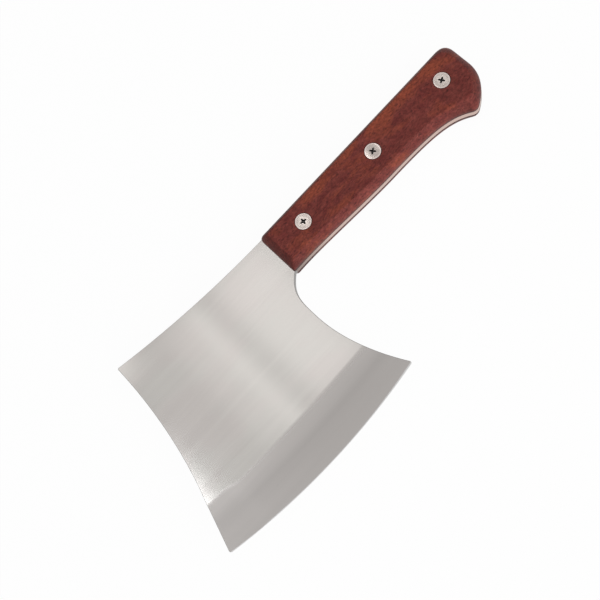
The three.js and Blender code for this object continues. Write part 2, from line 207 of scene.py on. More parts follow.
# Noises of the finishes: the lengths of their marks along x, y and z in metres, detail and coarseness
BLADE_LINES = ((0.06, 0.0004, 0.0004), 3, 0.6)
BLADE_STREAKS = ((0.09, 0.006, 0.006), 3, 0.5)
BLADE_CLOUDS = ((0.03, 0.02, 0.02), 2, 0.5)
SIDE_LINES = ((0.0006, 0.02, 0.0006), 4, 0.65)
WOOD_DRIFT = ((0.05, 0.02, 0.02), 2, 0.5)
WOOD_FIGURE = ((0.006, 0.0030, 0.004), 5, 0.65)
WOOD_PATCHES = ((0.018, 0.0075, 0.008), 3, 0.6)
WOOD_FLECKS = ((0.0016, 0.0010, 0.0010), 3, 0.6)
WOOD_FIBRES = ((0.005, 0.0006, 0.0006), 4, 0.65)
WOOD_PORES = ((0.0018, 0.0006, 0.0006), 2, 0.5)
SEAT_GRAIN = ((0.0008, 0.0008, 0.0008), 3, 0.6)
RECESS_SHADE_MARKS = ((0.0006, 0.0006, 0.0006), 3, 0.6)
HEAD_RINGS = ((0.03, 1, 1), 3, 0.6)

# The range that most of a noise lies in
NOISE_MIDDLE = (0.3, 0.7)

# A spread, here and below, is from and to which value, and what is given at these two ends.
# Steel: depth of its lines in metres, their change of gloss, and spreads of clouds, lines and streaks
LINE_DEPTH = 1e-6
GLOSS_CHANGE = 0.03
CLOUD_EDGE = (0.4, 0.6)
LINE_TONES = (0.35, 0.65, 0.990, 1.010)
STREAK_TONES = (0.35, 0.65, 0.986, 1.014)
STREAK_WEAR = (*NOISE_MIDDLE, -0.005, 0.005)

# Narrow steel sides: roughness, contrast of their lines, and a spread along x of the painted shade at the
# tang's start
TANG_FRONT_SHADE = (-0.049, -0.020, 0.35, 1)
KEEN_LOOKS = (0.4, 0.03)
SIDE_LOOKS = (0.45, 0.08)
TANG_LOOKS = (0.4, 0.06, TANG_FRONT_SHADE)

# Wood: spreads of its sway and tones, stops of its figure, and depth and strength of its relief
WOOD_SPECULAR = 0.18
WOOD_SWAY = (0, 1, -0.004, 0.004)
FIGURE_STOPS = (0.34, 0.50, 0.66)
WARM_EDGE = (0.48, 0.68, 0, 0.9)
FLECK_TONES = (0.34, 0.66, 0.70, 1.22)
FIBRE_TONES = (*NOISE_MIDDLE, 0.88, 1)
PORE_EDGE = (0.57, 0.70)
PORE_SHARE = 0.68
# Darkening of steep wood, as a spread of steepness: end grain and painted shade at the ends, painted shade
# on the spine and the belly's front
END_GRAIN_AND_SHADE_TONES = (0.2, 0.55, 1, 0.68)
FIBRE_GLOSS = (0.1, -0.06)
WOOD_RELIEF = (3e-5, 0.5)

# Where the wood is warmer or colder, as spreads along x or y in metres
WARM_SPINE_Y = (0.002, 0.009, -0.05, 0.18)
WARM_SPINE_X = (-0.046, -0.010, 0.5, 1)
PATCH_ABOVE_BELLY_Y = (-0.013, -0.009, 0, 0.1)
PATCH_BELOW_BOLTS_Y = (-0.007, 0, 0.1, 0)
PATCH_NEAR_BLADE_X = (-0.02, 0.03, 1, 0)
COLD_FRONT_X = (-0.046, -0.010, 0.12, 0)

# Bolt heads: roughness, depth and tones of their rings, and spreads from the middle at 0 to the rim at 1
HEAD_ROUGHNESS = 0.3
RING_DEPTH = 4e-6
RING_TONES = (0.96, 1.03)
RING_GLOSS = (*NOISE_MIDDLE, 0.18, 0.28)
# Painted shade towards the head's middle and painted sheen towards its rim
HEAD_SHADE_AND_SHEEN = (0.4, 0.84, 0.92, 1.06)
# Where the rim's painted highlight takes over, tinted by the wood that it reflects
HEAD_RIM_HIGHLIGHT = (0.80, 0.92)

# Dark insides of the bolt seats and cross recesses, darkened as painted shade: roughness, noise, and its
# dark and light tones
SEAT_LOOKS = (0.8, SEAT_GRAIN, 0.6, 1.5)
RECESS_LOOKS = (0.6, RECESS_SHADE_MARKS, 0.6, 1.8)

# Nearest distance that the camera sees, in metres
CLIP_START = 0.01

# Floor: its half width and the gap under the part in metres, and how much of it is seen as plain white
FLOOR_REACH = 4
FLOOR_GAP = 0.0002
FLOOR_WHITE = 0.96
FLOOR_ROUGHNESS = 0.9

# Softbox, kept out of reflections: name, place and aim in metres, width, depth and brightness
SOFTBOX = ("Key softbox", (0.5, -1.1, 0.95), (0, 0, 0), 1.8, 1.4, 1.33)

# Reflector cards hung level over the part: name, x, y, width and depth in metres, brightness, tint
CARD_HEIGHT = 1
COOL_WHITE = (0.92, 0.96, 1)
CARDS = (
    ("Card for heel half", -0.0875, 0.27, 0.103, 0.27, 0.37),
    ("Card for dark band", -0.1475, 0.27, 0.025, 0.27, 0.105),
    ("Card for bright band", -0.185, 0.255, 0.02, 0.30, 0.52),
    ("Card for middle", -0.209, 0.27, 0.074, 0.27, 0.21),
    ("Card for nose half", -0.28, 0.255, 0.078, 0.30, 0.06),
    ("Card at nose", -0.467, 0.21, 0.186, 0.18, 3.0, COOL_WHITE),
    ("Card at spine corner", -0.37, 0.46, 0.15, 0.14, 0.4),
    ("Card over first screw", 0.05, 0.36, 0.07, 0.20, 3.0),
    ("Card over last screw", 0.36, 0.36, 0.08, 0.20, 1.9),
)

# The direction of the studio's bright wall, how near to it its light grows, and how steeply up the
# walls turn into the ceiling
BRIGHT_WALL = (0, -1, 0)
WALL_EDGE = (0, 0.8)
CEILING_EDGE = (0.1, 0.8)

# Slack of the point tests, the least edge break and how far the bevel's lines run past the blade, in
# millimetres, and the fold past which an edge shows as an edge
CDT_SLACK = 1e-6
LEAST_BREAK = 0.004
LINE_MARGIN = 3
SHARP_FOLD = math.radians(32)

# Finishes of the blade, in the order of its material slots
FACE, KEEN, SIDE, TANG = range(4)
# Finishes of a scale and of a bolt
WOOD, BORE_AND_SEAM_SHADE = range(2)
STEEL, RECESS = range(2)

# Values that follow from those above. The reaches are in the order of the handle's sides.
ROUND_REACHES = (ROUND_SPINE, ROUND_FRONT, ROUND_BELLY, ROUND_BUTT)
BELLY = 2
HOLE_RADIUS = SLEEVE_RADIUS + HOLE_CLEARANCE
SEAT_RADIUS = HEAD_RADIUS + HOLE_CLEARANCE
SEAT_DEPTH = HEAD_SINK + HEAD_THICKNESS
BOLT_LENGTH = 2 * (SCALE_THICKNESS + HALF_BLADE - SEAT_DEPTH)


def sketch_place(place):
    """Where a bolt stands, in the sketch."""
    low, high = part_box(f"screw_{place}")
    middle = (low + high) / 2
    return Vector(((middle.x - SKETCH_X) / MM, (middle.y - SKETCH_Y) / MM))


BOLTS = [sketch_place(place) for place in PLACES]


# Settings


def kind_of(prop, **looks):
    """Makes settings of one kind for the sidebar, each from its name, description and default."""
    return lambda name, description, default: prop(
        name=name, description=description, default=default, **looks
    )


length = kind_of(FloatProperty, min=0, precision=5, subtype="DISTANCE", unit="LENGTH")
angle = kind_of(FloatProperty, subtype="ANGLE", unit="ROTATION")
share = kind_of(FloatProperty, min=0, max=1, subtype="FACTOR")
level = kind_of(FloatProperty, min=0, soft_max=3)
colour = kind_of(FloatVectorProperty, min=0, max=1, size=3, subtype="COLOR")
position = kind_of(FloatVectorProperty, size=3, subtype="TRANSLATION", unit="LENGTH")
turns = kind_of(FloatVectorProperty, size=3, subtype="EULER", unit="ROTATION")


def degrees(*values):
    """Angles in degrees as a setting's radians."""
    return [math.radians(value) for value in values]


class CleaverBladeSettings(bpy.types.PropertyGroup):
    """Sizes and finishes of the blade and tang."""

    bevel_width: length("Bevel width", "Width of the ground face at the middle of the blade", 0.0261)
    edge_angle: angle("Edge angle", "Slope of the edge bevel on each face", math.radians(30))
    edge_break: length("Edge break", "Width of the softened edges along the outline", 0.00025)
    flat_colour: colour("Flat colour", "Satin steel of the flat faces", (0.73, 0.70, 0.665))
    warm_colour: colour("Warm steel", "Faint warm clouds on the flat faces", (0.73, 0.685, 0.655))
    flat_roughness: share("Flat roughness", "Gloss of the flat faces, lower is shinier", 0.11)
    ground_colour: colour("Ground colour", "Duller steel of the ground bevel", (0.612, 0.577, 0.554))
    ground_roughness: share("Ground roughness", "Gloss of the ground bevel", 0.30)
    keen_colour: colour("Edge colour", "Bright steel of the edge bevel", (0.80, 0.79, 0.78))
    side_colour: colour("Side colour", "Dull steel of the blade's narrow sides", (0.34, 0.33, 0.32))
    # The tang sides' pinkish tint is a painted reflection of the wood beside them
    tang_reflection_colour: colour("Tang colour", "Steel of the tang's narrow sides", (0.62, 0.46, 0.40))


class CleaverHandleSettings(bpy.types.PropertyGroup):
    """Colours of the wooden scales."""

    wood_dark: colour("Dark grain", "Dark streaks of the wood", (0.148, 0.026, 0.022))
    wood_middle: colour("Middle grain", "Main colour of the wood", (0.182, 0.037, 0.0295))
    wood_light: colour("Light grain", "Light streaks of the wood", (0.224, 0.050, 0.039))
    wood_warm: colour("Warm patches", "Orange-brown patches in the wood", (0.297, 0.064, 0.033))
    pore_colour: colour("Pores", "Fine dark pores along the grain", (0.050, 0.011, 0.010))
    # The bores' colour is dark end grain deepened into painted shade, and it also lines the scales' inner
    # edge as a painted shade line along the tang
    bore_and_seam_shade_colour: colour("Bores", "Dark end grain inside the bolt seats", (0.028, 0.009, 0.008))
    wood_roughness: share("Roughness", "Gloss of the oiled wood", 0.45)


class CleaverBoltSettings(bpy.types.PropertyGroup):
    """Sizes, turns and finish of the screws and sleeve nuts."""

    head_edge: length("Head edge", "Rounded edge of the heads", 0.0003)
    cross_span: length("Cross span", "Distance between opposite points of the cross recess", 0.0038)
    cross_core: length("Cross core", "Width of the cross recess between its arms", 0.0017)
    cross_depth: length("Cross depth", "Depth of the cross recess", 0.0013)
    screw_turns: turns("Screw turns", "Turn of each screw's cross, from the blade", degrees(-7, 34, 28))
    nut_turns: turns("Nut turns", "Turn of each nut's cross, from the blade", degrees(20, 51, -12))
    steel_colour: colour("Steel colour", "Turned steel of the heads", (0.61, 0.54, 0.495))
    # The rim is polished steel made lighter as a painted highlight, tinted pink by the wood that it
    # reflects
    rim_highlight_colour: colour("Rim colour", "Polished rim of the heads", (0.97, 0.83, 0.77))
    # The recess's near black colour is painted shade inside the cross
    recess_shade_colour: colour("Recess colour", "Dark inside of the cross recess", (0.020, 0.018, 0.017))


class CleaverStageSettings(bpy.types.PropertyGroup):
    """Camera, light and floor."""

    aim: position("Aim", "Point that the camera looks at", (-0.05511, -0.0239, 0.0095))
    distance: length("Distance", "From the camera to the aim", 0.52)
    tilt: angle("Tilt", "Lean of the view from above, towards the edge", math.radians(17))
    roll: angle("Roll", "Turn of the handle in the picture", math.radians(46.66))
    view_angle: angle("View angle", "Width of the camera's view", math.radians(32.69))
    bright_wall: level("Bright wall", "Light from the wall on the belly's side", 1.95)
    dark_wall: level("Dark walls", "Light from the other walls", 0.1)
    ceiling: level("Ceiling", "Level of the studio overhead, as reflections see it", 0.60)
    ceiling_light: level("Ceiling light", "Light from the studio overhead", 0.48)
    floor_colour: colour("Floor", "Pale floor under the cleaver", (0.95, 0.95, 0.95))


# Sides are lists of points that run anticlockwise, with the material on their left


def spot(x, y):
    """A point of the sketch."""
    return Vector((x, y))


def held(value):
    """A value, held between 0 and 1."""
    return min(1, max(0, value))


def eased(value):
    """A value held between 0 and 1, with soft ends."""
    part = held(value)
    return part * part * (3 - 2 * part)


def curve(*controls, steps=CURVE_STEPS):
    """Points along a line, or along a curve with one or more control points between its ends."""
    points = []
    for i in range(steps + 1):
        between = controls
        while len(between) > 1:
            between = [a.lerp(b, i / steps) for a, b in zip(between, between[1:])]
        points.append(between[0])
    return points


def arc(a, b, radius):
    """Points along an arc, with its centre on the left, or on the right for a negative radius."""
    turn = math.copysign(1, radius)
    size = abs(radius)
    half = (b - a).length / 2
    left = spot(a.y - b.y, b.x - a.x).normalized()
    centre = a.lerp(b, 0.5) + left * turn * math.sqrt(size**2 - half**2)
    start = math.atan2(a.y - centre.y, a.x - centre.x)
    sweep_angle = 2 * math.asin(half / size) * turn
    points = []
    for i in range(CURVE_STEPS + 1):
        at = start + sweep_angle * i / CURVE_STEPS
        points.append(centre + spot(math.cos(at), math.sin(at)) * size)
    return points


def circle(centre, radius, steps=CIRCLE_STEPS):
    """Points round a circle."""
    angles = [2 * math.pi * i / steps for i in range(steps)]
    return [centre + spot(math.cos(a), math.sin(a)) * radius for a in angles]


def respaced(side, from_start, from_end, steps):
    """Evenly spaced points along a side, without the given lengths at its two ends."""
    lengths = [0]
    for before, after in zip(side, side[1:]):
        lengths.append(lengths[-1] + (after - before).length)
    run = lengths[-1] - from_start - from_end
    points = []
    k = 1
    for i in range(steps + 1):
        goal = from_start + run * i / steps
        while k < len(side) - 1 and lengths[k] < goal:
            k += 1
        part = (goal - lengths[k - 1]) / (lengths[k] - lengths[k - 1])
        points.append(side[k - 1].lerp(side[k], part))
    return points


def rounded_outline(sides):
    """A closed outline from (points, steps, corner) sides, each rounded off by its corner at its end."""
    outline = []
    for i, (points, steps, corner) in enumerate(sides):
        before_corner = sides[i - 1][2]
        after_points, _, after_corner = sides[(i + 1) % len(sides)]
        run = respaced(points, before_corner, corner, steps)
        if corner == 0:
            outline += run[:-1]
            continue
        following = respaced(after_points, corner, after_corner, 1)[0]
        outline += run[:-1]
        outline += curve(run[-1], points[-1], following, steps=CORNER_STEPS)[:-1]
    return outline


def handle_sides():
    """The handle's spine, front, belly and butt, each as (points, steps, corner)."""
    hook_x = HANDLE_LENGTH - HOOK_FROM_BUTT
    grip_x = hook_x - HOOK_RUN
    front = spot(0, -FRONT_DEPTH)
    grip = spot(grip_x, -GRIP_DEPTH)
    hook = spot(hook_x, -HOOK_DEPTH)
    butt_turn = spot(HANDLE_LENGTH, -BUTT_STRAIGHT)
    butt_top = spot(HANDLE_LENGTH, 0)
    front_end = spot(FRONT_EASE, FRONT_DIP - FRONT_DEPTH)
    grip_start = spot(grip_x - GRIP_EASE, -GRIP_DEPTH)
    belly = curve(front, front_end, grip_start, grip)
    hook_start = spot(grip_x + HOOK_START_EASE, -GRIP_DEPTH)
    hook_end = spot(hook_x - HOOK_TIP_EASE, HOOK_TIP_FALL - HOOK_DEPTH)
    belly += curve(grip, hook_start, hook_end, hook)[1:]
    butt = curve(hook, spot(HANDLE_LENGTH, -BUTT_STRAIGHT - BUTT_EASE), butt_turn)
    butt += curve(butt_turn, butt_top)[1:]
    return [
        (curve(butt_top, spot(0, 0)), SPINE_STEPS, FRONT_SPINE_CORNER),
        (curve(spot(0, 0), front), FRONT_STEPS, FRONT_BELLY_CORNER),
        (belly, BELLY_STEPS, HOOK_CORNER),
        (butt, BUTT_STEPS, SPINE_BUTT_CORNER),
    ]


def inside(point, loop):
    """Whether a point lies within a closed loop."""
    found = False
    for a, b in zip(loop, loop[1:] + loop[:1]):
        if (a.y > point.y) != (b.y > point.y):
            crossing = a.x + (point.y - a.y) * (b.x - a.x) / (b.y - a.y)
            found ^= point.x < crossing
    return found


def triangulated(outer, holes, lines=()):
    """Points, triangles and each point's place in outer + holes, for a flat area with its inner lines."""
    points = []
    edges = []
    for loop in [outer, *holes]:
        start = len(points)
        points += loop
        edges += [(start + i, start + (i + 1) % len(loop)) for i in range(len(loop))]
    for line in lines:
        start = len(points)
        points += line
        edges += [(start + i, start + i + 1) for i in range(len(line) - 1)]
    spots, _, faces, origins, _, _ = delaunay_2d_cdt(points, edges, [], 1, CDT_SLACK)
    kept = []
    for face in faces:
        middle = sum((spots[i] for i in face), spot(0, 0)) / len(face)
        if inside(middle, outer) and not any(inside(middle, hole) for hole in holes):
            kept.append(tuple(face))
    return spots, kept, [found[0] if found else None for found in origins]


def border_loops(faces):
    """The closed chains of edges that only one face uses, the longest first."""
    sides = {(a, b) for face in faces for a, b in zip(face, face[1:] + face[:1])}
    following = {a: b for a, b in sides if (b, a) not in sides}
    loops = []
    while following:
        first = next(iter(following))
        loop = [first]
        step = following.pop(first)
        while step != first:
            loop.append(step)
            step = following.pop(step)
        loops.append(loop)
    return sorted(loops, key=len, reverse=True)


class Shell:
    """Points and faces of a piece, in sketch millimetres, with the finish of each face."""

    def __init__(self):
        self.points = []
        self.faces = []
        self.finishes = []

    def ring(self, flat_points, heights):
        """Adds a ring of points and gives their numbers. One height may serve for all."""
        if not isinstance(heights, list):
            heights = [heights] * len(flat_points)
        start = len(self.points)
        self.points += [Vector((p.x, p.y, z)) for p, z in zip(flat_points, heights)]
        return list(range(start, len(self.points)))

    def face(self, corners, finish=0):
        """Adds a face, without corners that fall together."""
        kept = [c for i, c in enumerate(corners) if c != corners[i - 1]]
        if len(kept) > 2:
            self.faces.append(kept)
            self.finishes.append(finish)

    def band(self, lower, upper, finish=0):
        """Adds the closed strip of faces between two rings. One finish may serve for all."""
        if not isinstance(finish, list):
            finish = [finish] * len(lower)
        for i in range(len(lower)):
            k = (i + 1) % len(lower)
            self.face([lower[i], lower[k], upper[k], upper[i]], finish[i])

    def cap(self, numbers, outer, holes, finish=0):
        """Adds the flat faces between an outer loop and its holes, whose points have the given numbers."""
        _, faces, origins = triangulated(outer, holes)
        for face in faces:
            self.face([numbers[origins[i]] for i in face], finish)

    def mesh(self, name, place):
        """A mesh of the piece with outward faces, smooth but for its folds and where finishes meet."""
        made = bpy.data.meshes.new(name)
        made.from_pydata([place @ p for p in self.points], [], self.faces)
        made.polygons.foreach_set("material_index", self.finishes)
        work = bmesh.new()
        work.from_mesh(made)
        bmesh.ops.delete(work, geom=[v for v in work.verts if not v.link_faces], context="VERTS")
        bmesh.ops.recalc_face_normals(work, faces=work.faces)
        for face in work.faces:
            face.smooth = True
        for edge in work.edges:
            finishes = {face.material_index for face in edge.link_faces}
            edge.smooth = len(finishes) == 1 and edge.calc_face_angle(math.pi) < SHARP_FOLD
        work.to_mesh(made)
        work.free()
        return made


def sketch_to_part(height):
    """Moves sketch millimetres to the part, with sketch z = 0 at the given height in metres."""
    return Matrix.Translation((SKETCH_X, SKETCH_Y, height)) @ Matrix.Scale(MM, 4)


def keep_values(mesh, name, values):
    """Stores a value for each point of a mesh, under a name that its finish reads."""
    mesh.attributes.new(name, "FLOAT", "POINT").data.foreach_set("value", values)


def placed(name, data):
    """Puts a mesh, lamp or camera in the scene as an object at the origin."""
    made = bpy.data.objects.new(name, data)
    bpy.context.scene.collection.objects.link(made)
    return made


def add_piece(name, mesh, slot, *nodes):
    """Puts a mesh in the scene as a piece that rides on the part in place of CAD nodes."""
    piece = placed(name, mesh)
    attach(piece, "root")
    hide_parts(*nodes)


# Blade and tang


class Grind:
    """The heights of the blade's flat, ground bevel and edge bevel above its middle plane."""

    def __init__(self, settings):
        self.width = settings.bevel_width / MM
        self.slope = (HALF_BLADE - BEVEL_END_THICKNESS / 2) / self.width
        self.edge_slope = math.tan(settings.edge_angle)

    def edge_drop(self, ahead):
        """How far below the spine line the cutting edge lies."""
        away = ahead - EDGE_VERTEX
        return EDGE_DROP - EDGE_RADIUS + math.sqrt(EDGE_RADIUS**2 - away**2)

    def bevel_drop(self, ahead):
        """How far below the spine line the ground bevel begins. Near the nose it flares upwards."""
        away = ahead - EDGE_VERTEX
        sag = BEVEL_LINE_RADIUS - math.sqrt(BEVEL_LINE_RADIUS**2 - away**2)
        rise = (ahead - NOSE_REACH + BEVEL_FLARE_START) / BEVEL_FLARE_RUN
        return EDGE_DROP - self.width - sag - BEVEL_FLARE * eased(rise)

    def keen_drop(self, ahead):
        """How far below the spine line the edge bevel begins."""
        rise = EDGE_THICKNESS / 2 - HALF_BLADE
        rise += self.edge_slope * self.edge_drop(ahead) - self.slope * self.bevel_drop(ahead)
        return rise / (self.edge_slope - self.slope)

    def softness(self, ahead):
        """How far the bevel's upper line is rounded off on each side, most at the heel."""
        return BEVEL_SOFT_HEEL + (BEVEL_SOFT_NOSE - BEVEL_SOFT_HEEL) * held(ahead / NOSE_REACH)

    def past_line(self, point):
        """Where a point lies across the bevel's rounded line, from -1 above it to 1 below."""
        return (-point.y - self.bevel_drop(-point.x)) / self.softness(-point.x)

    def soft_drop(self, past):
        """The drop, for any place ahead, of a line along the bevel's rounded line."""
        return lambda ahead: self.bevel_drop(ahead) + past * self.softness(ahead)

    def row_drop(self, part):
        """The drop, for any place ahead, of a line a part of the way down the bevel."""
        return lambda ahead: self.bevel_drop(ahead) * (1 - part) + self.keen_drop(ahead) * part

    def ground_share(self, point):
        """How ground the face is at a point of the sketch, from 0 on the flat to 1 on the bevel."""
        return eased((self.past_line(point) + 1) / 2)

    def down_share(self, point):
        """How far down the bevel a point of the sketch lies, from 0 at its line to 1 at its end."""
        line = self.bevel_drop(-point.x)
        return held((-point.y - line) / (self.keen_drop(-point.x) - line))

    def height(self, point):
        """Half the blade's thickness at a point of the sketch."""
        ahead, drop = -point.x, -point.y
        past = max(-1, self.past_line(point))
        fall = past if past > 1 else (past + 1) ** 2 / 4
        ground = HALF_BLADE - self.slope * self.softness(ahead) * fall
        keen = EDGE_THICKNESS / 2 + self.edge_slope * (self.edge_drop(ahead) - drop)
        return max(EDGE_THICKNESS / 2, min(ground, keen))

    def finish(self, point):
        """Which finish the blade has at a point of the sketch."""
        return FACE if -point.y < self.keen_drop(-point.x) else KEEN

    def line(self, drop):
        """A line across the blade at a drop that depends on how far ahead it is."""
        start = NOSE_REACH + LINE_MARGIN
        run = start + HEEL_BACK + LINE_MARGIN
        stations = [start - run * i / BEVEL_STATIONS for i in range(BEVEL_STATIONS + 1)]
        return [spot(-ahead, -drop(ahead)) for ahead in stations]


def blade_outline(grind):
    """The outline of blade and tang, anticlockwise."""
    spine, _, belly, butt = handle_sides()
    nose_top = spot(-SPINE_AHEAD, SPINE_RISE)
    nose_tip = spot(-NOSE_REACH, -grind.edge_drop(NOSE_REACH))
    nose_run = spot(NOSE_LEAN, NOSE_STRAIGHT)
    nose_bend = nose_tip + nose_run
    low_ease = nose_bend + nose_run * (NOSE_LOW_EASE / NOSE_STRAIGHT)
    heel_tip = spot(HEEL_BACK, -grind.edge_drop(-HEEL_BACK))
    throat_bottom = spot(-THROAT_AHEAD, -THROAT_BOTTOM)
    throat_top = spot(-THROAT_AHEAD, -THROAT_TOP)
    throat_ease = spot(-THROAT_AHEAD, THROAT_EASE - THROAT_TOP)
    throat_corner = spot(-THROAT_CORNER_AHEAD, -FRONT_DEPTH - THROAT_CORNER_DROP)
    nose = curve(nose_top, nose_top - spot(NOSE_TOP_LEAN, NOSE_TOP_EASE), low_ease, nose_bend)
    nose += curve(nose_bend, nose_tip)[1:]
    heel = curve(heel_tip, spot(-THROAT_AHEAD, -THROAT_BOTTOM - HEEL_EASE), throat_bottom)
    heel += curve(throat_bottom, throat_top)[1:]
    heel += curve(throat_top, throat_ease, throat_corner, spot(0, -FRONT_DEPTH))[1:]
    return rounded_outline(
        [
            (spine[0], SPINE_STEPS, 0),
            (arc(spot(0, 0), nose_top, -SPINE_RADIUS), BLADE_SPINE_STEPS, NOSE_CORNER),
            (nose, NOSE_STEPS, TIP_CORNER),
            (arc(nose_tip, heel_tip, EDGE_RADIUS), EDGE_STEPS, TIP_CORNER),
            (heel, HEEL_STEPS, 0),
            belly,
            butt,
        ]
    )


def outward(loop):
    """The direction out of an anticlockwise loop at each of its points."""
    pairs = zip(loop[-1:] + loop[:-1], loop[1:] + loop[:1])
    return [spot(after.y - before.y, before.x - after.x).normalized() for before, after in pairs]


def blade_mesh(settings):
    """Blade and tang as one closed plate with bolt holes, bevels and softened outline edges."""
    grind = Grind(settings)

    def edge_break(point):
        up = (grind.edge_drop(-point.x) + point.y) / EDGE_BREAK_FADE
        size = settings.edge_break / MM * min(1, up)
        return size if size > LEAST_BREAK else 0

    outline = blade_outline(grind)
    loop = [p - out * edge_break(p) for p, out in zip(outline, outward(outline))]
    holes = [circle(place, HOLE_RADIUS) for place in BOLTS]
    lines = [grind.line(grind.soft_drop(past)) for past in BEVEL_SOFT_LINES]
    lines += [grind.line(grind.row_drop(row / BEVEL_ROWS)) for row in range(1, BEVEL_ROWS + 1)]
    spots, faces, _ = triangulated(loop, holes, lines)
    heights = [grind.height(p) for p in spots]
    shell = Shell()
    tops = shell.ring(spots, heights)
    bottoms = shell.ring(spots, [-z for z in heights])
    for face in faces:
        finish = grind.finish(sum((spots[i] for i in face), spot(0, 0)) / len(face))
        shell.face([tops[i] for i in face], finish)
        shell.face([bottoms[i] for i in reversed(face)], finish)
    rim, *bores = border_loops(faces)
    for bore in bores:
        shell.band([bottoms[i] for i in bore], [tops[i] for i in bore], TANG)
    rim_spots = [spots[i] for i in rim]
    breaks = [edge_break(p) for p in rim_spots]
    outer = [p + out * size for p, out, size in zip(rim_spots, outward(rim_spots), breaks)]
    upper = shell.ring(outer, [heights[i] - size for i, size in zip(rim, breaks)])
    lower = shell.ring(outer, [size - heights[i] for i, size in zip(rim, breaks)])
    upper = [u if size else tops[i] for u, i, size in zip(upper, rim, breaks)]
    lower = [u if size else bottoms[i] for u, i, size in zip(lower, rim, breaks)]
    sides = [TANG if p.x > 0 and -p.y < THROAT_TOP else SIDE for p in rim_spots]
    shell.band(upper, [tops[i] for i in rim], sides)
    shell.band(lower, upper, sides)
    shell.band([bottoms[i] for i in rim], lower, sides)
    place = sketch_to_part(BLADE_MIDDLE)
    made = shell.mesh("blade_plate", place)
    points = [place.inverted() @ v.co for v in made.vertices]
    keep_values(made, "ground", [grind.ground_share(p) for p in points])
    keep_values(made, "down", [grind.down_share(p) for p in points])
    return made


# Scales


def moved_in(side, distances):
    """A side moved inwards, to the left of its direction, by a distance for each of its points."""
    ends = zip(side[:1] + side[:-1], side[1:] + side[-1:], side, distances)
    return [p + spot(a.y - b.y, b.x - a.x).normalized() * far for a, b, p, far in ends]


def belly_reach(along):
    """The rounding's reach along the belly: it widens along the second half, from grip to hook."""
    return ROUND_BELLY + (ROUND_HOOK - ROUND_BELLY) * max(0, 2 * along - 1) ** 2


def met_at_corner(first, second):
    """Two sides that run past each other, cut back to the corner where they cross."""
    for i in range(len(first) - 2, -1, -1):
        for j in range(len(second) - 1):
            corner = intersect_line_line_2d(first[i], first[i + 1], second[j], second[j + 1])
            if corner:
                return first[: i + 1] + [corner], [corner] + second[j + 1 :]
    raise ValueError("the handle is too narrow for the rounding of its scales")


def scale_outline(part):
    """The scales' outline with each side moved in by a part of its rounding."""
    sides = [list(side) for side in handle_sides()]
    reaches = [[reach] * len(side[0]) for side, reach in zip(sides, ROUND_REACHES)]
    last = len(reaches[BELLY]) - 1
    reaches[BELLY] = [belly_reach(i / last) for i in range(last + 1)]
    if part:
        for side, reach in zip(sides, reaches):
            side[0] = moved_in(side[0], [part * far for far in reach])
        for side, following in zip(sides, sides[1:] + sides[:1]):
            side[0], following[0] = met_at_corner(side[0], following[0])
    return rounded_outline(sides)


def steepness(place, normal):
    """How steep the wood is for its darkening: end grain and painted shade at the ends, painted shade at
    the spine and the belly's front.
    """
    start, end, weight = FRONT_SHADE
    near = held((place.x - end) / (start - end))
    return max(abs(normal.x), normal.y, weight * near * min(0, normal.y) ** 2)


def scale_mesh(name, place):
    """A scale with its flat inner face at z = 0, its rounded face up and its bolt seats cut in."""
    shell = Shell()
    top = SCALE_THICKNESS
    rings = [(INNER_EDGE_BREAK / ROUND_BELLY, 0), (0, INNER_EDGE_BREAK)]
    round_part = 1 - math.cos(ROUND_END)
    last = math.acos(1 - (1 - CREASE_SOFT) * round_part)
    for i in range(ROUND_STEPS + 1):
        at = last * i / ROUND_STEPS
        height = ROUND_DEPTH * math.sin(at) / math.sin(ROUND_END)
        rings.append(((1 - math.cos(at)) / round_part, top - ROUND_DEPTH + height))
    fall = top - rings[-1][1]
    rings += [(1, top - fall * CREASE_DROP), (1 + CREASE_SOFT, top), (HOLDING_SHARE, top)]
    outlines = [scale_outline(part) for part, _ in rings]
    numbers = [shell.ring(outline, z) for outline, (_, z) in zip(outlines, rings)]
    # The inner edge break along the tang takes the dark bore finish, as a painted shade line at the joint
    shell.band(numbers[0], numbers[1], BORE_AND_SEAM_SHADE)
    for lower, upper in zip(numbers[1:], numbers[2:]):
        shell.band(lower, upper, WOOD)
    seat = [(SEAT_RADIUS + SEAT_RIM, top)]
    for i in range(1, RIM_STEPS + 1):
        at = math.pi / 2 * i / RIM_STEPS
        seat.append((SEAT_RADIUS + SEAT_RIM * (1 - math.sin(at)), top - SEAT_RIM * (1 - math.cos(at))))
    seat += [(SEAT_RADIUS, top - SEAT_DEPTH), (HOLE_RADIUS, top - SEAT_DEPTH), (HOLE_RADIUS, 0)]
    mouths = []
    feet = []
    for bolt in BOLTS:
        bore = [shell.ring(circle(bolt, radius), z) for radius, z in seat]
        finishes = [WOOD] * RIM_STEPS + [BORE_AND_SEAM_SHADE] * (len(bore) - RIM_STEPS)
        for upper, lower, finish in zip(bore, bore[1:], finishes):
            shell.band(upper, lower, finish)
        mouths += bore[0]
        feet += bore[-1]
    shell.cap(numbers[-1] + mouths, outlines[-1], [circle(bolt, seat[0][0]) for bolt in BOLTS], WOOD)
    shell.cap(numbers[0] + feet, outlines[0], [circle(bolt, HOLE_RADIUS) for bolt in BOLTS], WOOD)
    made = shell.mesh(name, place)
    keep_values(made, "steep", [steepness(v.co, v.normal) for v in made.vertices])
    return made


# Bolts


def cross_ring(settings, size):
    """The four-pointed outline of the cross recess, at a share of its full size."""
    core = settings.cross_core / MM / 2
    reach = settings.cross_span / MM / 2 - core
    points = []
    for i in range(CROSS_STEPS):
        at = 2 * math.pi * i / CROSS_STEPS
        radius = core + reach * abs(math.cos(2 * at)) ** CROSS_SHARPNESS
        points.append(spot(math.cos(at), math.sin(at)) * radius * size)
    return points


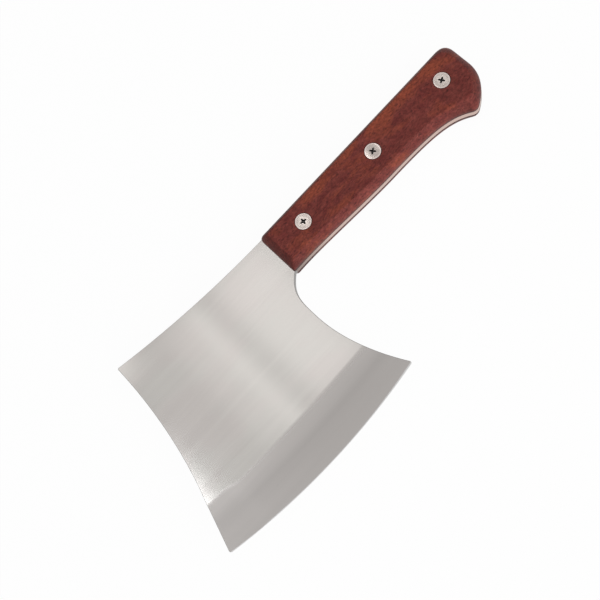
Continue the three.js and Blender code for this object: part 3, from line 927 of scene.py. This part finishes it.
def bolt_mesh(name, settings, body, place):
    """A turned bolt with its seat at z = 0 and its head up. The body's profile ends at the seat."""
    shell = Shell()
    edge = settings.head_edge / MM
    profile = [*body, (HEAD_RADIUS, 0)]
    for i in range(EDGE_ROUND_STEPS + 1):
        at = math.pi / 2 * i / EDGE_ROUND_STEPS
        turn = (HEAD_RADIUS - edge + edge * math.cos(at), HEAD_THICKNESS - edge + edge * math.sin(at))
        profile.append(turn)
    centre = spot(0, 0)
    rings = []
    for radius, z in profile:
        ring = shell.ring(circle(centre, radius), z)
        rings.append(ring if radius else ring[:1] * CIRCLE_STEPS)
    for lower, upper in zip(rings, rings[1:]):
        shell.band(lower, upper, STEEL)
    mouth = cross_ring(settings, 1)
    floor = cross_ring(settings, CROSS_DRAFT)
    mouth_ring = shell.ring(mouth, HEAD_THICKNESS)
    floor_ring = shell.ring(floor, HEAD_THICKNESS - settings.cross_depth / MM)
    shell.cap(rings[-1] + mouth_ring, circle(centre, profile[-1][0]), [mouth], STEEL)
    shell.band(mouth_ring, floor_ring, RECESS)
    shell.cap(floor_ring, floor, [], RECESS)
    made = shell.mesh(name, place @ Matrix.Scale(MM, 4))
    recess = made.attributes.new("recess", "BOOLEAN", "FACE")
    recess.data.foreach_set("value", [p.material_index == RECESS for p in made.polygons])
    head_map = made.uv_layers.new(name="head_map")
    for corner, place_on_head in zip(made.loops, head_map.uv):
        at = made.vertices[corner.vertex_index].co
        place_on_head.vector = (at.x / MM / HEAD_RADIUS, at.y / MM / HEAD_RADIUS)
    return made


def screw_mesh(settings):
    """A cross-head screw."""
    tip = SLEEVE_FLOOR + SCREW_TIP_GAP - BOLT_LENGTH
    body = [(0, tip), (SHANK_RADIUS, tip), (SHANK_RADIUS, 0)]
    return bolt_mesh("screw", settings, body, Matrix.Identity(4))


def nut_mesh(settings):
    """A sleeve nut, head down."""
    end = SLEEVE_END_GAP - BOLT_LENGTH
    bore = [(0, -SLEEVE_FLOOR), (BORE_RADIUS, -SLEEVE_FLOOR), (BORE_RADIUS, end)]
    sleeve = [(SLEEVE_RADIUS, end), (SLEEVE_RADIUS, 0)]
    head_down = Matrix.Scale(-1, 4, (0, 0, 1))
    return bolt_mesh("sleeve_nut", settings, bore + sleeve, head_down)


def bolt_row_tree():
    """A node tree that sets a bolt at three places, each with its own turn, and its sockets by name."""
    tree = bpy.data.node_groups.new("Bolt row", "GeometryNodeTree")
    kinds = {"Bolt": "Geometry"}
    for place in PLACES:
        kinds[f"{place} place"] = "Vector"
        kinds[f"{place} turn"] = "Float"
    kinds["Steel"] = kinds["Recess"] = "Material"
    sockets = {}
    for name, kind in kinds.items():
        made = tree.interface.new_socket(name, in_out="INPUT", socket_type=f"NodeSocket{kind}")
        sockets[name] = made.identifier
    tree.interface.new_socket("Bolts", in_out="OUTPUT", socket_type="NodeSocketGeometry")
    nodes = Nodes(tree)
    given = nodes.node("NodeGroupInput").outputs
    join = nodes.node("GeometryNodeJoinGeometry")
    for place in PLACES:
        point = nodes.node("GeometryNodePoints", [("Position", given[f"{place} place"])]).outputs[0]
        around = nodes.node("ShaderNodeCombineXYZ", [("Z", given[f"{place} turn"])]).outputs[0]
        turn = nodes.node("FunctionNodeEulerToRotation", [("Euler", around)]).outputs[0]
        links = [("Points", point), ("Instance", given["Bolt"]), ("Rotation", turn)]
        nodes.feed(join.inputs[0], nodes.node("GeometryNodeInstanceOnPoints", links).outputs[0])
    bolts = nodes.node("GeometryNodeRealizeInstances", [("Geometry", join.outputs[0])]).outputs[0]
    links = [("Geometry", bolts), ("Material", given["Steel"])]
    bolts = nodes.node("GeometryNodeSetMaterial", links).outputs[0]
    recess = nodes.node("GeometryNodeInputNamedAttribute", [("Name", "recess")], data_type="BOOLEAN")
    in_recess = recess.outputs["Attribute"]
    links = [("Geometry", bolts), ("Selection", in_recess), ("Material", given["Recess"])]
    bolts = nodes.node("GeometryNodeSetMaterial", links).outputs[0]
    nodes.node("NodeGroupOutput", [("Bolts", bolts)])
    return tree, sockets


def bolt_row(name, bolt, tree, sockets, seat_height, bolt_turns, finishes):
    """One plain mesh of three bolts, set by the node tree."""
    holder = placed(f"{name}_holder", bolt)
    row = holder.modifiers.new("Bolt row", "NODES")
    row.node_group = tree
    for place, bolt_place, turn in zip(PLACES, BOLTS, bolt_turns):
        at = sketch_to_part(seat_height) @ Vector((bolt_place.x, bolt_place.y, 0))
        row[sockets[f"{place} place"]] = at
        row[sockets[f"{place} turn"]] = turn
    row[sockets["Steel"]], row[sockets["Recess"]] = finishes
    evaluated = holder.evaluated_get(bpy.context.evaluated_depsgraph_get())
    made = bpy.data.meshes.new_from_object(evaluated)
    made.name = name
    bpy.data.objects.remove(holder)
    return made


# Finishes


class Nodes:
    """A node tree while its nodes are put together."""

    def __init__(self, tree):
        self.tree = tree

    def node(self, kind, links=(), **settings):
        """Adds a node, sets its settings and links its inputs, given as (input, output or value)."""
        made = self.tree.nodes.new(kind)
        for name, value in settings.items():
            setattr(made, name, value)
        for name, value in links:
            self.feed(made.inputs[name], value)
        return made

    def feed(self, socket, value):
        """Links an output to a socket, or sets a value on it."""
        if isinstance(value, bpy.types.NodeSocket):
            self.tree.links.new(value, socket)
        else:
            socket.default_value = value

    def spread(self, value, low, high, to_low=0, to_high=1):
        """Maps a range of values to another, and holds its ends."""
        names = ("Value", "From Min", "From Max", "To Min", "To Max")
        links = list(zip(names, (value, low, high, to_low, to_high)))
        return self.node("ShaderNodeMapRange", links).outputs[0]

    def math(self, operation, *values):
        """The result of a calculation with one or two values."""
        return self.node("ShaderNodeMath", list(enumerate(values)), operation=operation).outputs[0]

    def axes(self, vector):
        """A vector's parts along x, y and z."""
        return self.node("ShaderNodeSeparateXYZ", [(0, vector)]).outputs

    def seen_rays(self):
        """1 on rays from the camera and on reflected and refracted ones, else 0."""
        path = self.node("ShaderNodeLightPath").outputs
        seen = self.math("MAXIMUM", path["Is Camera Ray"], path["Is Glossy Ray"])
        return self.math("MAXIMUM", seen, path["Is Transmission Ray"])


class Finish(Nodes):
    """A material while its nodes are put together, round the shader that it starts with."""

    def __init__(self, name, roughness, metallic=0):
        self.material = bpy.data.materials.new(name)
        self.material.use_nodes = True
        super().__init__(self.material.node_tree)
        self.shader = self.tree.nodes["Principled BSDF"]
        self.shader.inputs["Roughness"].default_value = roughness
        self.shader.inputs["Metallic"].default_value = metallic
        self.position = self.node("ShaderNodeTexCoord").outputs["Object"]

    def noise(self, lengths, detail, coarse, position=None):
        """Noise whose marks have about the given lengths along x, y and z, in metres."""
        scale = [1 / size for size in lengths]
        links = [("Vector", position or self.position), ("Scale", scale)]
        stretched = self.node("ShaderNodeMapping", links).outputs[0]
        links = [("Vector", stretched), ("Scale", 1), ("Detail", detail), ("Roughness", coarse)]
        return self.node("ShaderNodeTexNoise", links).outputs[0]

    def attribute(self, name):
        """A value that the mesh keeps at each of its points."""
        return self.node("ShaderNodeAttribute", attribute_name=name).outputs["Fac"]

    def ramp(self, value, stops):
        """Colours at stops from 0 to 1, blended between them."""
        made = self.node("ShaderNodeValToRGB", [("Fac", value)])
        elements = made.color_ramp.elements
        while len(elements) < len(stops):
            elements.new(1)
        for element, (at, shade) in zip(elements, stops):
            element.position = at
            element.color = (*shade, 1)
        return made.outputs["Color"]

    def mix(self, factor, a, b, blend="MIX"):
        """Two colours, blended by a factor."""
        made = self.node("ShaderNodeMix", data_type="RGBA", blend_type=blend)
        self.feed(made.inputs[0], factor)
        for socket, value in ((made.inputs[6], a), (made.inputs[7], b)):
            self.feed(socket, value if isinstance(value, bpy.types.NodeSocket) else (*value, 1))
        return made.outputs[2]

    def shades(self, value, shade, dark, light):
        """A colour that a noise makes darker and lighter, by two factors."""
        return self.ramp(value, list(zip(NOISE_MIDDLE, (tinted(shade, dark), tinted(shade, light)))))

    def times(self, tone, value, spread):
        """A colour, multiplied by a spread of a value."""
        return self.mix(1.0, tone, self.spread(value, *spread), "MULTIPLY")

    def set(self, name, output):
        """Links an output to one of the shader's inputs."""
        self.tree.links.new(output, self.shader.inputs[name])

    def bump(self, height, depth, strength=1):
        """Raises the surface by a height, times a depth in metres."""
        links = [("Height", height), ("Distance", depth), ("Strength", strength)]
        self.set("Normal", self.node("ShaderNodeBump", links).outputs[0])


def tinted(shade, factor):
    """A colour made lighter or darker."""
    return tuple(min(1, part * factor) for part in shade)


def brushed(name, shade, roughness, contrast, painted_shade=None):
    """Steel with fine lines across a narrow side. A painted shade darkens it along a stretch of x."""
    finish = Finish(name, roughness, metallic=1)
    lines = finish.noise(*SIDE_LINES)
    tone = finish.shades(lines, shade, 1 - contrast, 1 + contrast)
    if painted_shade:
        tone = finish.times(tone, finish.axes(finish.position)["X"], painted_shade)
    finish.set("Base Color", tone)
    gloss = (roughness - GLOSS_CHANGE, roughness + GLOSS_CHANGE)
    finish.set("Roughness", finish.spread(lines, *NOISE_MIDDLE, *gloss))
    finish.bump(lines, LINE_DEPTH)
    return finish.material


def face_finish(settings):
    """Satin steel of the flats and ground bevels, with faint lines and streaks along the blade and a
    painted sheen down the bevels.
    """
    finish = Finish("Satin blade steel", settings.flat_roughness, metallic=1)
    ground = finish.attribute("ground")
    lines = finish.noise(*BLADE_LINES)
    streaks = finish.noise(*BLADE_STREAKS)
    clouds = finish.spread(finish.noise(*BLADE_CLOUDS), *CLOUD_EDGE)
    tone = finish.mix(clouds, settings.flat_colour, settings.warm_colour)
    painted_sheen = [(at, tinted(settings.ground_colour, light)) for at, light in PAINTED_BEVEL_SHEEN]
    tone = finish.mix(ground, tone, finish.ramp(finish.attribute("down"), painted_sheen))
    tone = finish.times(tone, lines, LINE_TONES)
    tone = finish.times(tone, streaks, STREAK_TONES)
    finish.set("Base Color", tone)
    gloss = finish.spread(ground, 0, 1, settings.flat_roughness, settings.ground_roughness)
    wear = finish.spread(streaks, *STREAK_WEAR)
    finish.set("Roughness", finish.math("ADD", gloss, wear))
    finish.bump(lines, LINE_DEPTH)
    return finish.material


def blade_finishes(settings):
    """Finishes of the blade's faces, edge bevels, narrow sides and tang sides."""
    return [
        face_finish(settings),
        brushed("Keen steel edge", settings.keen_colour, *KEEN_LOOKS),
        brushed("Dull steel side", settings.side_colour, *SIDE_LOOKS),
        brushed("Tang steel side", settings.tang_reflection_colour, *TANG_LOOKS),
    ]


def wood_warmth(finish, x, y):
    """How warm the wood is at a place: along the spine, in a patch near the blade, less at the front."""
    near_spine = finish.spread(y, *WARM_SPINE_Y)
    near_spine = finish.math("MULTIPLY", near_spine, finish.spread(x, *WARM_SPINE_X))
    above_belly = finish.spread(y, *PATCH_ABOVE_BELLY_Y)
    below_bolts = finish.spread(y, *PATCH_BELOW_BOLTS_Y)
    near_blade = finish.spread(x, *PATCH_NEAR_BLADE_X)
    patch = finish.math("MULTIPLY", finish.math("MINIMUM", above_belly, below_bolts), near_blade)
    warmth = finish.math("ADD", near_spine, patch)
    return finish.math("SUBTRACT", warmth, finish.spread(x, *COLD_FRONT_X))


def wood_finish(settings):
    """Oiled red-brown hardwood with its grain along the handle."""
    finish = Finish("Oiled hardwood", settings.wood_roughness)
    finish.shader.inputs["Specular IOR Level"].default_value = WOOD_SPECULAR
    drift = finish.spread(finish.noise(*WOOD_DRIFT), *WOOD_SWAY)
    sideways = finish.node("ShaderNodeCombineXYZ", [("Y", drift), ("Z", drift)]).outputs[0]
    links = [(0, finish.position), (1, sideways)]
    grain = finish.node("ShaderNodeVectorMath", links, operation="ADD").outputs[0]
    figure = finish.noise(*WOOD_FIGURE, grain)
    shades = (settings.wood_dark, settings.wood_middle, settings.wood_light)
    tone = finish.ramp(figure, list(zip(FIGURE_STOPS, shades)))
    x, y, z = finish.axes(finish.position)
    patches = finish.math("ADD", finish.noise(*WOOD_PATCHES, grain), wood_warmth(finish, x, y))
    tone = finish.mix(finish.spread(patches, *WARM_EDGE), tone, settings.wood_warm)
    tone = finish.times(tone, finish.noise(*WOOD_FLECKS, grain), FLECK_TONES)
    fibres = finish.noise(*WOOD_FIBRES, grain)
    tone = finish.times(tone, fibres, FIBRE_TONES)
    pores = finish.spread(finish.noise(*WOOD_PORES, grain), *PORE_EDGE)
    tone = finish.mix(finish.math("MULTIPLY", pores, PORE_SHARE), tone, settings.pore_colour)
    # Steep wood darkened: end grain and painted shade at the ends, painted shade on the spine and the
    # belly's front
    tone = finish.times(tone, finish.attribute("steep"), END_GRAIN_AND_SHADE_TONES)
    # Painted shade along the tang, where wood meets steel, fading out over the seam's width
    away = finish.math("ABSOLUTE", finish.math("SUBTRACT", z, BLADE_MIDDLE))
    face = HALF_BLADE * MM
    tone = finish.times(tone, away, (face, face + SEAM_SHADE_WIDTH, SEAM_SHADE_TONE, 1))
    finish.set("Base Color", tone)
    gloss = [settings.wood_roughness + change for change in FIBRE_GLOSS]
    finish.set("Roughness", finish.spread(fibres, *NOISE_MIDDLE, *gloss))
    finish.bump(finish.math("SUBTRACT", fibres, pores), *WOOD_RELIEF)
    return finish.material


def dark_finish(name, shade, roughness, marks, dark, light):
    """A dark, rough inside with faint marks, darkened as painted shade."""
    finish = Finish(name, roughness)
    finish.set("Base Color", finish.shades(finish.noise(*marks), shade, dark, light))
    return finish.material


def head_finish(settings):
    """Turned steel with fine rings about each head's middle, painted shade at the middle and a painted
    highlight on the rim.
    """
    finish = Finish("Turned bolt steel", HEAD_ROUGHNESS, metallic=1)
    head_map = finish.node("ShaderNodeUVMap", uv_map="head_map").outputs["UV"]
    out = finish.node("ShaderNodeVectorMath", [(0, head_map)], operation="LENGTH").outputs["Value"]
    rings = finish.node("ShaderNodeCombineXYZ", [("X", out)]).outputs[0]
    turned = finish.noise(*HEAD_RINGS, rings)
    tone = finish.shades(turned, settings.steel_colour, *RING_TONES)
    # Painted shade towards the middle, painted sheen towards the rim, and the rim's painted highlight
    tone = finish.times(tone, out, HEAD_SHADE_AND_SHEEN)
    tone = finish.mix(finish.spread(out, *HEAD_RIM_HIGHLIGHT), tone, settings.rim_highlight_colour)
    finish.set("Base Color", tone)
    finish.set("Roughness", finish.spread(turned, *RING_GLOSS))
    finish.bump(turned, RING_DEPTH)
    return finish.material


# Stage


def add_camera(settings):
    """A camera that looks at the blade from the front face, leaned towards the cutting edge."""
    camera = placed("Camera", bpy.data.cameras.new("Camera"))
    lean = Matrix.Rotation(settings.tilt, 4, "X")
    back = lean @ Vector((0, 0, settings.distance))
    spin = Matrix.Rotation(-settings.roll, 4, "Z")
    camera.matrix_world = Matrix.Translation(Vector(settings.aim) + back) @ lean @ spin
    camera.data.angle = settings.view_angle
    camera.data.clip_start = CLIP_START
    bpy.context.scene.camera = camera


def add_lamp(name, place, aim, width, depth, radiance, shade=(1, 1, 1)):
    """A soft rectangular lamp of a given brightness that the camera doesn't see."""
    lamp = bpy.data.lights.new(name, "AREA")
    lamp.color = shade
    lamp.shape = "RECTANGLE"
    lamp.size = width
    lamp.size_y = depth
    lamp.energy = radiance * math.pi * width * depth
    holder = placed(name, lamp)
    holder.location = place
    holder.rotation_euler = (Vector(aim) - Vector(place)).to_track_quat("-Z", "Y").to_euler()
    holder.visible_camera = False
    return holder


def add_world(settings):
    """A studio with walls that are seen white, though only one of them is bright, and a grey ceiling."""
    world = bpy.data.worlds.new("Studio")
    bpy.context.scene.world = world
    world.use_nodes = True
    nodes = Nodes(world.node_tree)
    direction = nodes.node("ShaderNodeTexCoord").outputs["Generated"]
    links = [(0, direction), (1, BRIGHT_WALL)]
    near = nodes.node("ShaderNodeVectorMath", links, operation="DOT_PRODUCT").outputs["Value"]
    up = nodes.axes(direction)["Z"]
    seen = nodes.seen_rays()
    wall = nodes.spread(near, *WALL_EDGE, settings.dark_wall, settings.bright_wall)
    wall = nodes.spread(seen, 0, 1, wall, 1)
    overhead = nodes.spread(seen, 0, 1, settings.ceiling_light, settings.ceiling)
    background = world.node_tree.nodes["Background"]
    background.inputs["Color"].default_value = (1, 1, 1, 1)
    nodes.feed(background.inputs["Strength"], nodes.spread(up, *CEILING_EDGE, wall, overhead))


def floor_finish(settings):
    """A pale floor that camera and reflections see as nearly white, with the object's soft shadow."""
    finish = Finish("Pale floor", FLOOR_ROUGHNESS)
    finish.shader.inputs["Base Color"].default_value = (*settings.floor_colour, 1)
    finish.shader.inputs["Specular IOR Level"].default_value = 0
    part = finish.math("MULTIPLY", finish.seen_rays(), FLOOR_WHITE)
    white = finish.node("ShaderNodeEmission").outputs[0]
    links = [(0, part), (1, finish.shader.outputs[0]), (2, white)]
    blend = finish.node("ShaderNodeMixShader", links).outputs[0]
    finish.feed(finish.tree.nodes["Material Output"].inputs["Surface"], blend)
    return finish.material


def add_floor(settings):
    """A wide flat floor just under the rear scale."""
    mesh = bpy.data.meshes.new("floor")
    z = CAD_LOW.z - FLOOR_GAP
    corners = [(-1, -1), (1, -1), (1, 1), (-1, 1)]
    mesh.from_pydata([(x * FLOOR_REACH, y * FLOOR_REACH, z) for x, y in corners], [], [range(4)])
    mesh.materials.append(floor_finish(settings))
    floor = placed("floor", mesh)


# Operators and panel


class CLEAVER_OT_stage(bpy.types.Operator):
    """Set up the camera, the soft studio light and the pale floor"""

    bl_idname = "cleaver.stage"
    bl_label = "Set up stage"

    def execute(self, context):
        settings = context.scene.cleaver_stage
        add_camera(settings)
        add_world(settings)
        add_floor(settings)
        add_lamp(*SOFTBOX).visible_glossy = False
        for name, x, y, *looks in CARDS:
            add_lamp(name, (x, y, CARD_HEIGHT), (x, y, 0), *looks)
        context.scene.view_settings.view_transform = "Standard"
        return {"FINISHED"}


class CLEAVER_OT_blade(bpy.types.Operator):
    """Build the blade and tang as one ground steel plate"""

    bl_idname = "cleaver.blade"
    bl_label = "Build blade"

    def execute(self, context):
        settings = context.scene.cleaver_blade
        mesh = blade_mesh(settings)
        for material in blade_finishes(settings):
            mesh.materials.append(material)
        add_piece("blade_plate", mesh, "blade_steel", "blade")
        return {"FINISHED"}


class CLEAVER_OT_scales(bpy.types.Operator):
    """Build the two wooden scales of the handle"""

    bl_idname = "cleaver.scales"
    bl_label = "Build scales"

    def execute(self, context):
        settings = context.scene.cleaver_handle
        finishes = (
            wood_finish(settings),
            dark_finish("Seat and seam wood with painted shade", settings.bore_and_seam_shade_colour, *SEAT_LOOKS),
        )
        face_down = Matrix.Scale(-1, 4, (0, 0, 1))
        front = scale_mesh("front_scale_wood", sketch_to_part(FRONT_LOW.z))
        rear = scale_mesh("rear_scale_wood", sketch_to_part(REAR_HIGH.z) @ face_down)
        for mesh, node in ((front, "front_scale"), (rear, "rear_scale")):
            for material in finishes:
                mesh.materials.append(material)
            add_piece(mesh.name, mesh, "handle_wood", node)
        return {"FINISHED"}


class CLEAVER_OT_bolts(bpy.types.Operator):
    """Build the three screws and their sleeve nuts"""

    bl_idname = "cleaver.bolts"
    bl_label = "Build bolts"

    def execute(self, context):
        settings = context.scene.cleaver_bolts
        finishes = (
            head_finish(settings),
            dark_finish("Cross recess painted shade", settings.recess_shade_colour, *RECESS_LOOKS),
        )
        row = bolt_row_tree()
        front_seat = FRONT_HIGH.z - SEAT_DEPTH * MM
        rear_seat = REAR_LOW.z + SEAT_DEPTH * MM
        for name, bolt, seat, bolt_turns, node in (
            ("screws", screw_mesh(settings), front_seat, settings.screw_turns, "screw"),
            ("sleeve_nuts", nut_mesh(settings), rear_seat, settings.nut_turns, "sleeve_nut"),
        ):
            mesh = bolt_row(name, bolt, *row, seat, bolt_turns, finishes)
            add_piece(name, mesh, "bolt_steel", *[f"{node}_{place}" for place in PLACES])
        return {"FINISHED"}


class CLEAVER_PT_sidebar(bpy.types.Panel):
    """Settings and build steps of the cleaver"""

    bl_label = "Cleaver"
    bl_idname = "CLEAVER_PT_sidebar"
    bl_space_type = "VIEW_3D"
    bl_region_type = "UI"
    bl_category = "Cleaver"

    def draw(self, context):
        for name, step, title in STEPS:
            box = self.layout.box()
            box.label(text=title)
            settings = getattr(context.scene, name)
            for prop in settings.__annotations__:
                box.prop(settings, prop)
            box.operator(step)


STEPS = (
    ("cleaver_stage", "cleaver.stage", "Stage"),
    ("cleaver_blade", "cleaver.blade", "Blade"),
    ("cleaver_handle", "cleaver.scales", "Scales"),
    ("cleaver_bolts", "cleaver.bolts", "Bolts"),
)
SETTINGS = {
    "cleaver_stage": CleaverStageSettings,
    "cleaver_blade": CleaverBladeSettings,
    "cleaver_handle": CleaverHandleSettings,
    "cleaver_bolts": CleaverBoltSettings,
}
CLASSES = (
    *SETTINGS.values(),
    CLEAVER_OT_stage,
    CLEAVER_OT_blade,
    CLEAVER_OT_scales,
    CLEAVER_OT_bolts,
    CLEAVER_PT_sidebar,
)


def register():
    """Registers the classes and hangs the settings on the scene."""
    for each in CLASSES:
        bpy.utils.register_class(each)
    for name, group in SETTINGS.items():
        setattr(bpy.types.Scene, name, PointerProperty(type=group))


def unregister():
    """Takes the settings and the classes away again."""
    for name in SETTINGS:
        delattr(bpy.types.Scene, name)
    for each in reversed(CLASSES):
        bpy.utils.unregister_class(each)


def main():
    register()
    bpy.ops.cleaver.stage()
    bpy.ops.cleaver.blade()
    bpy.ops.cleaver.scales()
    bpy.ops.cleaver.bolts()


if __name__ == "__main__":
    main()
